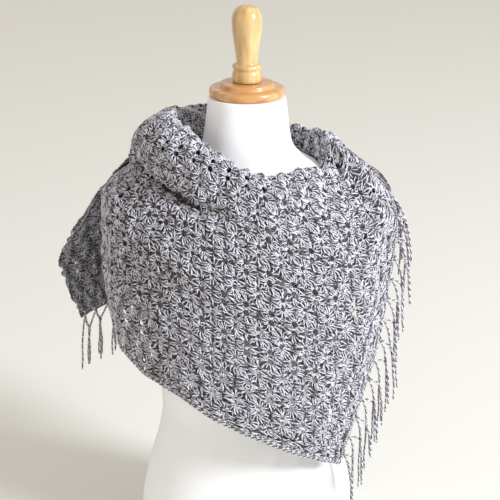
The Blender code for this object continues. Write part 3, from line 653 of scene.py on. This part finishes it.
def post_yarn(posts, steps, centres, random):
    """Where the plies of some posts of each rosette lie in the flat lace, and how far they stand off it."""
    from_up, turn, start, end = posts.T
    small = centres[:, 3:4] % 2
    shape = (len(centres), len(posts))
    turns = np.radians(turn) + centres[:, 2:3] + random.uniform(-TURN_UNEVEN, TURN_UNEVEN, shape)
    start = start - SMALL_START * small
    end = end + random.uniform(-END_UNEVEN, END_UNEVEN, shape)
    step = np.linspace(0.0, 1.0, steps)
    reach = (start[..., None] + (end - start)[..., None] * step)[:, :, None, :]
    side = np.array(((0.0,), (math.pi,)))
    phase = (PLY_PHASE + random.uniform(-0.5, 0.5, shape))[..., None, None]
    coil = phase + side + POST_TWIST * 2 * math.pi * (reach - reach[..., :1])
    bend = random.uniform(-BEND, BEND, shape)[..., None, None] * np.sin(math.pi * step)
    sway = (POST_APART[0] + POST_APART[1] * step) * np.cos(coil) + bend
    sine = np.sin(turns)[..., None, None]
    cosine = np.cos(turns)[..., None, None]
    hub = centres[:, 1:2] + from_up * (1.0 - SMALL_EYE_UP * small)
    along = centres[:, 0, None, None, None] + reach * sine + sway * cosine
    up = hub[..., None, None] + reach * cosine - sway * sine
    return along, up, POST_HIGH * np.sin(coil) + POST_BOW * np.sin(math.pi * step)


def lace_strands(sheet, centres, seed, face=1.0):
    """The yarn of the fans and of the short posts, as points, ways out, angles, levels and heights.

    It lies on the outer face of the ground, or on its inner face for -1, where it closes on the eyelets."""
    random = np.random.default_rng(seed)
    closer = np.array((0.0, 0.0, INNER_START if face < 0 else 0.0, 0.0))
    made = []
    for posts, steps in ((FANS, POST_STEPS), (BETWEEN, SHORT_STEPS)):
        x, y, out = (part.reshape(-1, steps) for part in post_yarn(posts - closer, steps, centres, random))
        angle, level = sheet.angle_and_level(x, y)
        lift = unevenness(x, y, level) + face * out - (1.0 - face) * GROUND_DEPTH
        points, ways = sheet.on_cloth(angle, level, lift)
        made.append((points, ways, angle, level, y))
    return made


EYELET = (0.0038, 0.0041)  # half its width and height
SMALL_EYELET = 0.62  # the share of that on every other row, and on the row by the edge
EDGE_EYELET = 0.5
SCALLOP = 0.0035  # how deep the edge dips between two rosettes, from how far up
SCALLOP_UP = 0.0045


def open_cells(sheet, angle, level):
    """Whether each place of the cloth lies in an eyelet or outside the scalloped edge."""
    along, up = sheet.flat_place(angle, level)
    nearest = np.round((up - FIRST_ROW) / SHELL_ROW)
    hole = np.zeros(along.shape, bool)
    for near in (-1, 0, 1):
        line = nearest + near
        shift = 0.5 * (line % 2)
        column = np.round(along / SHELL_WIDTH - shift)
        x = along - (column + shift) * SHELL_WIDTH
        y = up - (FIRST_ROW + line * SHELL_ROW)
        big = np.where(line % 2 == 0, 1.0, SMALL_EYELET) * np.where(line < 1, EDGE_EYELET, 1.0)
        hole |= (x / (EYELET[0] * big)) ** 2 + ((np.abs(y) - EYE_UP) / (EYELET[1] * big)) ** 2 < 1.0
    return hole | (up < SCALLOP_UP - SCALLOP * np.abs(np.sin(math.pi * along / SHELL_WIDTH)))


def ground_piece(name, sheet, low, high, top, bottom, inside, strip=None):
    """The close ground of a piece: one thin sheet with the eyelets left open, but for an end's strip."""
    start, end = np.interp((low, high), sheet.angles, sheet.runs)
    first, last = (int(level * DOWN_STEPS / 2) for level in (top, bottom))
    fall = float(np.mean(sheet.climb[:, first] - sheet.climb[:, last]))
    angles = np.linspace(low, high, int((end - start) / GROUND_CELL) + 1)
    levels = np.linspace(top, bottom, int(fall / GROUND_CELL) + 1)
    angle, level = np.meshgrid(angles, levels, indexing="ij")
    lift = unevenness(*sheet.flat_place(angle, level), level) - GROUND_DEPTH
    points, _ = sheet.on_cloth(angle, level, lift)
    middles = [(grid[:-1, :-1] + grid[1:, 1:]) / 2 for grid in (angle, level)]
    cloth = ~open_cells(sheet, *middles)
    if strip is not None:
        cloth |= strip(*middles)
    cloth &= inside(*middles, 0.0)
    index = np.arange(angle.size).reshape(angle.shape)
    quads = np.stack([index[:-1, :-1], index[:-1, 1:], index[1:, 1:], index[1:, :-1]], -1)[cloth]
    used, faces = np.unique(quads, return_inverse=True)
    piece = mesh_piece(name, points.reshape(-1, 3)[used], faces.reshape(-1, 4), GROUND)
    return piece


def end_angle(down):
    return through(FRONT_END[:, 0], FRONT_END[:, 1:], np.ravel(down))[:, 0].reshape(np.shape(down))


def to_front_end(angle, level):
    """Degrees from places to the front's fringed end, or to where the roll over the panel begins."""
    return np.where(level > 1.0, end_angle(np.clip(level - 1.0, 0.0, 1.0)), ROLL_START) - angle


def front_inside(angle, level, slack):
    """Whether places are on the front stretch: the panel up to its strip, and the roll over it."""
    strip = np.where(level > 1.0, CUFF_ANGLE, 0.0)
    return (angle > SIDE_SEAM - slack) & (to_front_end(angle, level) > strip - slack)


def strands_of(made, choose, name):
    """Yarn pieces from the strands that the choose function keeps, none with too many triangles."""
    pieces = []
    for points, ways, angle, level, up in made:
        middle = points.shape[1] // 2
        keep = choose(angle[:, middle], level[:, middle])
        keep &= choose(angle[:, -1], level[:, -1]) | choose(angle[:, 0], level[:, 0])
        keep &= (up.min(axis=1) > -0.001) & (level.min(axis=1) > 0.001)
        # Posts in the sharp line under the roll are dropped, so that the ground's painted shade shows there
        # as a dark crease.
        keep &= fold_depth(TUCK, angle, level).max(axis=1) < TUCK_DEPTH
        ply = np.arange(len(points))[keep] % 2
        points = points[keep]
        ways = ways[keep]
        steps = points.shape[1]
        taper = np.ones(steps)
        taper[0] = taper[-1] = POST_TAPER
        thick = YARN_RADIUS * taper * (1.0 + PALE_THICKER * (1 - ply[:, None]))
        kind = "posts" if steps == POST_STEPS else "short"
        parts = math.ceil(len(points) * (steps - 1) * SIDES * 2 / MOST_TRIANGLES)
        for part in range(parts):
            own = slice(part * len(points) // parts, (part + 1) * len(points) // parts)
            title = f"{name}_{kind}_{part + 1}"
            pieces.append(yarn_strands(title, points[own], ways[own], thick[own], ply[own]))
    return pieces


front_sheet = Sheet(PANEL, PANEL_FOLDS, SIDE_SEAM - 2, 92.0, 1.35, 0.0)
front_made = lace_strands(front_sheet, rosette_centres(front_sheet, front_inside, 11), 12)
front_ground = ground_piece(
    "front_ground", front_sheet, SIDE_SEAM, 90.0, 1.0, 2.0,
    lambda angle, level, slack: (angle > SIDE_SEAM) & (to_front_end(angle, level) > 0.0),
    lambda angle, level: to_front_end(angle, level) < CUFF_ANGLE,
)
front_yarn = strands_of(
    front_made, lambda angle, level: (level > 1.0) & front_inside(angle, level, 0.0), "front"
)
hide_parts("front_panel")

# The tail
# The other fringed end of the stole, which comes off the roll behind the right shoulder and hangs down
# the back in deep folds. Its free edge stands out past the right side.
TAIL = (
    # angle, top_out, top_up, cape_out, cape_up, fall_out, fall_up, hem_out, hem_up
    (-96, 0.160, 0.562, 0.218, 0.488, 0.270, 0.395, 0.240, 0.313),
    (-104, 0.158, 0.5615, 0.220, 0.486, 0.266, 0.395, 0.240, 0.310),
    (-116, 0.153, 0.5605, 0.208, 0.485, 0.245, 0.395, 0.234, 0.308),
    (-132, 0.147, 0.556, 0.184, 0.482, 0.207, 0.395, 0.208, 0.306),
    (-150, 0.140, 0.550, 0.166, 0.480, 0.181, 0.395, 0.184, 0.304),
    (-168, 0.135, 0.545, 0.153, 0.478, 0.164, 0.395, 0.169, 0.302),
    (-188, 0.1325, 0.5425, 0.148, 0.478, 0.159, 0.395, 0.165, 0.300),
    (-206, 0.130, 0.542, 0.150, 0.478, 0.162, 0.395, 0.169, 0.300),
    (-216, 0.1307, 0.5433, 0.151, 0.478, 0.163, 0.395, 0.170, 0.300),
)
TAIL_FOLDS = (
    # angle, down, to_angle, to_down, half_width, depth
    (-112, 1.25, -110, 1.95, 0.018, 0.012),
    (-128, 1.20, -126, 1.95, 0.014, -0.006),
    (-141, 1.16, -141, 1.95, 0.014, 0.007),
    (-166, 1.16, -163, 1.90, 0.014, 0.006),
    (-190, 1.16, -188, 1.95, 0.016, 0.006),
)
TAIL_EDGES = (-99.0, -206.0)
SHOULDER_SEAM = -214.0
TAIL_CUFF = 0.04  # share of the panel's fall that the fringe's strip takes
FLAP_END = -134.0  # how far round the inner face of the free edge can be seen


def tail_inside(angle, level, slack):
    low = np.where(level > 1.0, TAIL_EDGES[1], SHOULDER_SEAM)
    high = np.where(level > 1.0, TAIL_EDGES[0], SIDE_SEAM)
    return (angle > low - slack) & (angle < high + slack) & (level < 2.0 - TAIL_CUFF * 0.5)


tail_sheet = Sheet(TAIL, TAIL_FOLDS, SHOULDER_SEAM - 2, SIDE_SEAM + 1, 1.5, -150.0)
tail_centres = rosette_centres(tail_sheet, tail_inside, 13)
tail_made = lace_strands(tail_sheet, tail_centres, 14)
tail_ground = ground_piece(
    "tail_ground", tail_sheet, TAIL_EDGES[1], TAIL_EDGES[0], 1.0, 2.0,
    lambda angle, level, slack: level < 2.0,
    lambda angle, level: level > 2.0 - TAIL_CUFF,
)
tail_yarn = strands_of(
    tail_made, lambda angle, level: (level > 1.0) & tail_inside(angle, level, 0.0), "tail"
)
tail_yarn += strands_of(
    lace_strands(tail_sheet, tail_centres, 17, -1.0),
    lambda angle, level: (level > 1.03) & (angle > FLAP_END) & tail_inside(angle, level, 0.0),
    "tail_inner",
)
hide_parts("tail")

# The back panel
# The same stretch as the front panel, going on round the right side and across the back under the tail,
# and then up to the left shoulder, where it turns into the roll.
LEFT_END = -275.0
ROLL_END = ROLL_START - 360.0
UNDER_TAIL = (-198.0, -108.0)
UNDER_TAIL_LEVEL = 1.85


def back_inside(angle, level, slack):
    low = np.where(level > 1.0, LEFT_END, ROLL_END)
    high = np.where(level > 1.0, SIDE_SEAM, SHOULDER_SEAM)
    return (angle > low - slack) & (angle < high + slack)


def on_back_panel(angle, level):
    """Where the panel's posts are made: not where the tail lies over it and hides them."""
    under_tail = (angle > UNDER_TAIL[0]) & (angle < UNDER_TAIL[1]) & (level < UNDER_TAIL_LEVEL)
    return (level > 1.0) & back_inside(angle, level, 0.0) & ~under_tail


back_sheet = Sheet(PANEL, PANEL_FOLDS, ROLL_END, SIDE_SEAM + 1, 1.5, -190.0)
back_made = lace_strands(back_sheet, rosette_centres(back_sheet, back_inside, 15), 16)
back_ground = ground_piece("back_ground", back_sheet, LEFT_END, SIDE_SEAM, 1.0, 2.0, back_inside)
back_yarn = strands_of(back_made, on_back_panel, "back")
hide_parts("back_panel")

# The roll round the neck
# The stole's second turn, folded over on itself like a cowl: low across the chest, high at the right
# side and behind the neck. It is the same lace, and it runs on from the panels without a seam.
roll_parts = (
    # sheet, inside, low, high, made, name, solid
    (front_sheet, front_inside, SIDE_SEAM, ROLL_START, front_made, "roll_front", "neck_roll_front"),
    (tail_sheet, tail_inside, SHOULDER_SEAM, SIDE_SEAM, tail_made, "roll_back", "neck_roll_back"),
    (back_sheet, back_inside, ROLL_END, SHOULDER_SEAM, back_made, "roll_left", "left_shoulder"),
)
for sheet, inside, low, high, made, name, solid in roll_parts:
    ground = ground_piece(f"{name}_ground", sheet, low, high, 0.0, 1.0, inside)
    yarn = strands_of(
        made, lambda angle, level, inside=inside: (level <= 1.0) & inside(angle, level, 0.0), name
    )
    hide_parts(solid)

# The fringes
# Lengths of the same two-ply yarn, looped through the edge stitches of both short ends in knots about
# 30 mm apart. Each knot's lengths are parted and tied to those of the knots beside it, as a lattice.
KNOT_PITCH = 0.0285
FRINGE_STEPS = 48
FRINGE_PLY = 0.00088
FRINGE_SPREAD = 0.0007
FRINGE_TWIST = 0.0095
DOWN = np.array((0.0, 0.0, -1.0))
TIE_DROP = (0.020, 0.030)  # how far below its knots a tie lies
TIE_OUT = (0.60, 0.72)  # and its share of the fringe's reach
TIE_ASIDE = 0.003
OPEN_DROP = 0.026  # how far below its knot a length that no tie holds turns down
OPEN_OUT = 0.55
BELLY_OUT = 0.14  # share of the reach that lengths belly out above their tie
SHORTEST_HANG = 0.03
SWING_OUT = (-0.06, 0.30)  # share of the reach that a knot's lengths swing out below their tie
SPLAY = (0.0034, 0.0045, 0.0026, 0.001)  # of a knot's halves, its unevenness, and the same of lengths
STITCH_PITCH = 0.0034  # from one edge stitch to the next
STITCH_ENDS = (-0.25, 1.06)  # across the strip
STITCH_LIFT = 0.0007
STITCH_SPREAD = 0.00065
STITCH_TWIST = 0.009
COIL_STEPS = 15
COIL_RADIUS = 0.0019
COIL_HIGH = 0.003
COIL_YARN = 0.001
FRONT_REACH = 0.03
FRONT_WAY = np.array((0.96, 0.28, 0.0))
FRONT_LONG = 0.099
TAIL_REACH = 0.006
TAIL_LONG = 0.086


def plied(lines, ways, spread, twist, seed):
    """Two plies wound round each of the lines, which are (line, step, xyz)."""
    beside, above = across_lines(lines, ways)
    run = np.cumsum(np.linalg.norm(np.diff(lines, axis=1, prepend=lines[:, :1]), axis=-1), axis=1)
    start = np.random.default_rng(seed).random((len(lines), 1))
    turn = (2 * math.pi * (run / twist + start))[..., None]
    aside = spread * (np.cos(turn) * beside + np.sin(turn) * above)
    ply = np.repeat((0, 1), len(lines))
    return np.concatenate([lines + aside, lines - aside]), np.concatenate([ways, ways]), ply


def coils(centres, axes):
    """Small wound rings round the places where lengths of yarn are knotted or tied."""
    turn = np.linspace(0.0, 4 * math.pi, COIL_STEPS)[None, :, None]
    axis = unit(axes)
    side = unit(np.cross(axis, (0.31, 0.95, 0.11)))
    other = np.cross(axis, side)
    ring = COIL_RADIUS * (np.cos(turn) * side[:, None] + np.sin(turn) * other[:, None])
    climb = COIL_HIGH * (turn / (4 * math.pi) - 0.5) * axis[:, None]
    lines = centres[:, None] + ring + climb
    return lines, np.broadcast_to(axis[:, None], lines.shape)


def fringe_lines(knots, lean, side, reach, long, seed):
    """The lengths that hang from the knots, and the places where they are tied to each other."""
    random = np.random.default_rng(seed)
    count = len(knots)
    middles = (knots[1:] + knots[:-1]) / 2
    drops = random.uniform(*TIE_DROP, (count - 1, 1))
    leans = (lean[1:] + lean[:-1]) / 2
    ties = middles + leans * reach * random.uniform(*TIE_OUT, (count - 1, 1)) + drops * DOWN
    ties += side[1:] * random.uniform(-TIE_ASIDE, TIE_ASIDE, (count - 1, 1))
    way = np.linspace(0.0, 1.0, FRINGE_STEPS)
    lines = []
    for number in range(count):
        knot, beside, out = knots[number], side[number], lean[number] * reach
        for half, tie in ((-1, number - 1), (1, number)):
            swing_out = random.uniform(*SWING_OUT)
            splay_out = SPLAY[0] * half + random.uniform(-SPLAY[1], SPLAY[1])
            for strand in ((-1, 1) if half == 1 else (0,)):
                start = knot + beside * 0.0006 * strand
                if 0 <= tie < count - 1:
                    held = ties[tie] + beside * 0.0009 * strand + lean[number] * 0.0006 * half
                else:
                    held = knot + out * OPEN_OUT + DOWN * OPEN_DROP + beside * 0.002 * (strand + half)
                belly = (start + held) / 2 + out * BELLY_OUT + DOWN * 0.0015
                total = long * random.uniform(0.93, 1.05)
                hang = max(total - np.linalg.norm(held - start), SHORTEST_HANG)
                splay = splay_out + SPLAY[2] * strand + random.uniform(-SPLAY[3], SPLAY[3])
                swing = out * (swing_out + random.uniform(-0.12, 0.12))
                lower = held + DOWN * hang * 0.5 + beside * splay * 0.7 + swing * 0.8
                tip = held + DOWN * hang + beside * splay + swing
                points = np.array((start, belly, held, lower, tip))
                run = runs_of(points)
                line = through(run, points, np.linspace(0.0, run[-1], FRINGE_STEPS))
                most = random.uniform(0.0008, 0.0018)
                sway = most * np.sin(way * random.uniform(9.0, 16.0) + random.uniform(0, 6.3))
                lines.append(line + (sway * np.sin(math.pi / 2 * way))[:, None] * beside)
    return np.array(lines), ties


def fringe(name, sheet, place, lean_at, reach, long, seed):
    """A short end's edge stitches, knots, ties and hanging lengths, as three pieces."""
    ways = np.linspace(0.0, 1.0, 241)
    edge, _ = sheet.on_cloth(*place(ways, 1.0))
    run = runs_of(edge)
    stitches = np.interp(np.arange(STITCH_PITCH / 2, run[-1], STITCH_PITCH), run, ways)
    angle, level = place(stitches[:, None], np.linspace(*STITCH_ENDS, 6))
    points, out = sheet.on_cloth(angle, level, STITCH_LIFT)
    points, out, ply = plied(points, out, STITCH_SPREAD, STITCH_TWIST, seed)
    stitch_piece = yarn_strands(f"{name}_edge", points, out, YARN_RADIUS, ply)

    count = int(run[-1] / KNOT_PITCH)
    at = np.interp((np.arange(count) + 0.5) * run[-1] / count, run, ways)
    knots, out = sheet.on_cloth(*place(at, 1.0))
    lean = lean_at(at)
    side = unit(np.cross(lean, (0.0, 0.0, 1.0)))
    lines, ties = fringe_lines(knots, lean, side, reach, long, seed + 1)
    facing = np.broadcast_to(side[0], lines.shape)
    points, facing, ply = plied(lines, facing, FRINGE_SPREAD, FRINGE_TWIST, seed)
    thick = np.full(points.shape[:2], FRINGE_PLY) * (1.0 + 2 * PALE_THICKER * (1 - ply[:, None]))
    thick[:, -1] *= 0.5
    hanging = yarn_strands(f"{name}_lengths", points, facing, thick, ply)

    centres = np.concatenate([knots + lean * 0.0012, ties])
    axes = np.concatenate([lean * 0.7 + DOWN, np.broadcast_to(DOWN, ties.shape)])
    rings, facing = coils(centres, axes)
    knot_piece = yarn_strands(f"{name}_knots", rings, facing, COIL_YARN, np.arange(len(rings)) % 2)
    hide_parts(name)
    return [stitch_piece, hanging, knot_piece]


def front_place(way, across):
    """Angle and level of a place on the front end's strip, from the lace, 0 across, to its edge, 1."""
    return end_angle(way) - CUFF_ANGLE * (1.0 - across), 1.001 + 0.998 * way


def tail_place(way, across):
    return TAIL_EDGES[0] + (TAIL_EDGES[1] - TAIL_EDGES[0]) * way, 2.0 - TAIL_CUFF * (1.0 - across)


def front_lean(way):
    """The way the lengths lean out from the front end: less and less from its top knot to its lowest."""
    return (1.0 - 0.45 * way)[:, None] * FRONT_WAY


def tail_lean(way):
    turn = np.radians(tail_place(way, 1.0)[0])
    return np.stack([np.sin(turn), -np.cos(turn), np.zeros(len(turn))], -1)


front_fringe = fringe("front_fringe", front_sheet, front_place, front_lean, FRONT_REACH, FRONT_LONG, 81)
tail_fringe = fringe("tail_fringe", tail_sheet, tail_place, tail_lean, TAIL_REACH, TAIL_LONG, 91)

# The long edge
# Rows of close stitches in the same yarn, worked into the first rosettes, finish the stole's lower long
# side, under the front panel and the back panel.
EDGE_ROWS = (0.0008, 0.0032, 0.0056)  # how far up from the edge
EDGE_STEP = 0.0016
EDGE_WAVE = 0.0007
EDGE_LIFT = 0.0006
EDGE_SPREAD = 0.0008
EDGE_TWIST = 0.0085


def long_edge(name, sheet, low, high, seed):
    """Plied yarn along the hem of a stretch, between two angles."""
    start, end = np.interp((low, high), sheet.angles, sheet.runs)
    along = np.arange(start, end, EDGE_STEP)
    lines, ways = [], []
    for row, up in enumerate(EDGE_ROWS):
        wave = EDGE_WAVE * np.sin(along * 2 * math.pi / STITCH_PITCH / 2 + 2.1 * row)
        angle, level = sheet.angle_and_level(along, up + wave)
        points, out = sheet.on_cloth(angle, level, EDGE_LIFT + unevenness(along, up, level))
        lines.append(points)
        ways.append(out)
    points, out, ply = plied(np.array(lines), np.array(ways), EDGE_SPREAD, EDGE_TWIST, seed)
    return yarn_strands(name, points, out, YARN_RADIUS, ply)


front_edge = long_edge("front_edge", front_sheet, SIDE_SEAM, float(end_angle(1.0)) - 1.0, 61)
back_edge = long_edge("back_edge", back_sheet, LEFT_END, SIDE_SEAM, 62)

# The studio
# A plain pale floor under soft light: a wide lamp at the front right, a faint warm one at the left, and
# pale air all round. The camera looks from the photograph's angle.
bpy.ops.mesh.primitive_plane_add(size=40.0, location=(0.0, 2.0, -0.0005))
floor = bpy.context.object
floor.name = "floor"
floor_paint, _, _ = new_material("pale floor", (0.83, 0.825, 0.785), 0.9)
floor.data.materials.append(floor_paint)

world = bpy.data.worlds.new("pale studio")
world.use_nodes = True
air = world.node_tree.nodes["Background"]
air.inputs["Color"].default_value = (1.0, 0.955, 0.895, 1.0)
air.inputs["Strength"].default_value = 0.69
bpy.context.scene.world = world
bpy.context.scene.view_settings.view_transform = "Standard"

VIEW_TARGET = Vector((0.0, 0.0, 0.428))
VIEW_DISTANCE = 2.2
VIEW_ELEVATION = math.radians(19.5)
FIELD_PIXELS = 1595.0  # focal length in pixels of the 500 pixel frame
FRAME_PIXELS = 500.0
AXIS_PIXEL = 247.0  # where the form's axis stands in that frame


def softbox(name, place, size, power, colour):
    light = bpy.data.lights.new(name, "AREA")
    light.shape = "DISK"
    light.size = size
    light.energy = power
    light.color = colour
    lamp = new_object(name, light)
    lamp.location = place
    lamp.rotation_euler = (lamp.location - VIEW_TARGET).to_track_quat("Z", "Y").to_euler()


softbox("key", (3.8, -2.4, 2.5), 1.5, 282.0, (0.91, 0.945, 1.0))
softbox("fill", (-2.2, -1.4, 1.0), 1.6, 3.0, (1.0, 0.95, 0.88))

lens = bpy.data.cameras.new("view")
lens.sensor_width = 36.0
lens.lens = FIELD_PIXELS / FRAME_PIXELS * lens.sensor_width
lens.shift_x = (FRAME_PIXELS / 2 - AXIS_PIXEL) / FRAME_PIXELS
camera = new_object("view", lens)
back_off = Vector((0.0, -math.cos(VIEW_ELEVATION), math.sin(VIEW_ELEVATION)))
camera.location = VIEW_TARGET + VIEW_DISTANCE * back_off
camera.rotation_euler = back_off.to_track_quat("Z", "Y").to_euler()
bpy.context.scene.camera = camera
